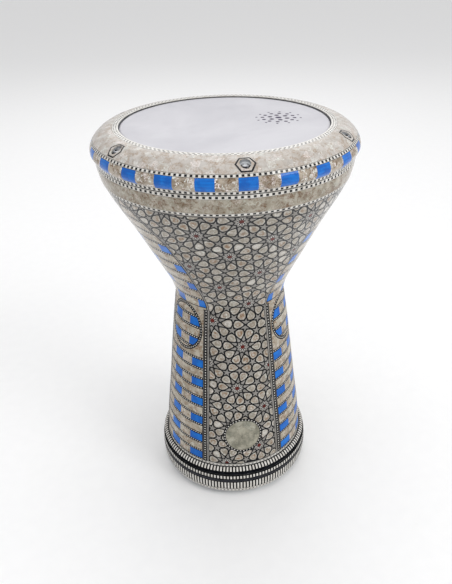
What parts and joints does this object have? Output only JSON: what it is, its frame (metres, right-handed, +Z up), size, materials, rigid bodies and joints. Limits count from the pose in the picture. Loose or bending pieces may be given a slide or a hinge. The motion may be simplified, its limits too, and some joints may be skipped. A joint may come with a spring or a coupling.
{
  "type": "darbuka",
  "caption": "Goblet hand drum with a bolted tension ring, film head and pearl-inlaid cast metal shell, open at the foot.",
  "frame": {"origin": "centre of the foot's base, on the surface the drum stands on", "axes": "+Z up along the drum's axis to the head; -Y is the front, through the medallion and the front bolt; +X is right seen from the front"},
  "size_m": [0.2822, 0.2822, 0.455],
  "materials": {
    "pearl": "mother-of-pearl mosaic under clear lacquer",
    "star_pearl": "pearl star inlay with dark lines under clear lacquer",
    "disc_pearl": "single grey-green pearl plate, lacquered",
    "string": "black and white beaded string, lacquered",
    "tile": "alternating blue and pearl tiles, lacquered",
    "bars": "upright black and pearl bars, lacquered",
    "ebony": "dark band, lacquered",
    "cast_metal": "sand-cast, painted dark where it shows in the grooves",
    "film": "translucent white polyester film",
    "hoop_metal": "extruded hoop",
    "bolt_steel": "polished plated steel",
    "insert_brass": "turned"
  },
  "bodies": {
    "shell": {"shell_casting": "cast_metal", "star_panel_front": "star_pearl", "star_panel_right_rear": "star_pearl", "star_panel_left_rear": "star_pearl", "side_panel_right": "pearl", "side_panel_rear": "pearl", "side_panel_left": "pearl", "stem_string_front_left": "string", "stem_string_front_right": "string", "stem_string_right_rear_left": "string", "stem_string_right_rear_right": "string", "stem_string_left_rear_left": "string", "stem_string_left_rear_right": "string", "medallion_string": "string", "shoulder_lower_string": "string", "shoulder_upper_string": "string", "foot_string": "string", "foot_edge_beading": "string", "medallion_disc": "disc_pearl", "shoulder_band": "pearl", "foot_bars_upper": "bars", "foot_bars_middle": "bars", "foot_bars_lower": "bars", "foot_ebony_band": "ebony", "bolt_insert_1": "insert_brass", "bolt_insert_2": "insert_brass", "bolt_insert_3": "insert_brass", "bolt_insert_4": "insert_brass", "bolt_insert_5": "insert_brass", "bolt_insert_6": "insert_brass"},
    "ring": {"tension_ring": "cast_metal", "ring_top_inlay": "pearl", "ring_tile_band": "tile", "ring_lower_string": "string", "ring_upper_string": "string", "ring_inner_string": "string", "bolt_bezel_1": "pearl", "bolt_bezel_2": "pearl", "bolt_bezel_3": "pearl", "bolt_bezel_4": "pearl", "bolt_bezel_5": "pearl", "bolt_bezel_6": "pearl"},
    "head": {"head_film": "film", "head_flesh_hoop": "hoop_metal"},
    "bolt_1": {"tension_bolt_1": "bolt_steel"},
    "bolt_2": {"tension_bolt_2": "bolt_steel"},
    "bolt_3": {"tension_bolt_3": "bolt_steel"},
    "bolt_4": {"tension_bolt_4": "bolt_steel"},
    "bolt_5": {"tension_bolt_5": "bolt_steel"},
    "bolt_6": {"tension_bolt_6": "bolt_steel"}
  },
  "joints": [
    {"name": "ring_lift", "type": "slide", "parent": "shell", "child": "ring", "axis": [0, 0, 1], "range_m": [0, 0.012]},
    {"name": "head_lift", "type": "slide", "parent": "shell", "child": "head", "axis": [0, 0, 1], "range_m": [0, 0.0072]},
    {"name": "bolt_1_turn", "type": "hinge", "parent": "ring", "child": "bolt_1", "pos_m": [0, -0.1284, 0.4434], "axis": [0, 0, 1], "range_deg": [0, 4320]},
    {"name": "bolt_2_turn", "type": "hinge", "parent": "ring", "child": "bolt_2", "pos_m": [0.1112, -0.0642, 0.4434], "axis": [0, 0, 1], "range_deg": [0, 4320]},
    {"name": "bolt_3_turn", "type": "hinge", "parent": "ring", "child": "bolt_3", "pos_m": [0.1112, 0.0642, 0.4434], "axis": [0, 0, 1], "range_deg": [0, 4320]},
    {"name": "bolt_4_turn", "type": "hinge", "parent": "ring", "child": "bolt_4", "pos_m": [0, 0.1284, 0.4434], "axis": [0, 0, 1], "range_deg": [0, 4320]},
    {"name": "bolt_5_turn", "type": "hinge", "parent": "ring", "child": "bolt_5", "pos_m": [-0.1112, 0.0642, 0.4434], "axis": [0, 0, 1], "range_deg": [0, 4320]},
    {"name": "bolt_6_turn", "type": "hinge", "parent": "ring", "child": "bolt_6", "pos_m": [-0.1112, -0.0642, 0.4434], "axis": [0, 0, 1], "range_deg": [0, 4320]}
  ],
  "couplings": [
    {"joint": "head_lift", "follows": "ring_lift", "ratio": 0.6},
    {"joint": "bolt_1_turn", "follows": "ring_lift", "rad_per_m": 6283.2},
    {"joint": "bolt_2_turn", "follows": "ring_lift", "rad_per_m": 6283.2},
    {"joint": "bolt_3_turn", "follows": "ring_lift", "rad_per_m": 6283.2},
    {"joint": "bolt_4_turn", "follows": "ring_lift", "rad_per_m": 6283.2},
    {"joint": "bolt_5_turn", "follows": "ring_lift", "rad_per_m": 6283.2},
    {"joint": "bolt_6_turn", "follows": "ring_lift", "rad_per_m": 6283.2}
  ]
}
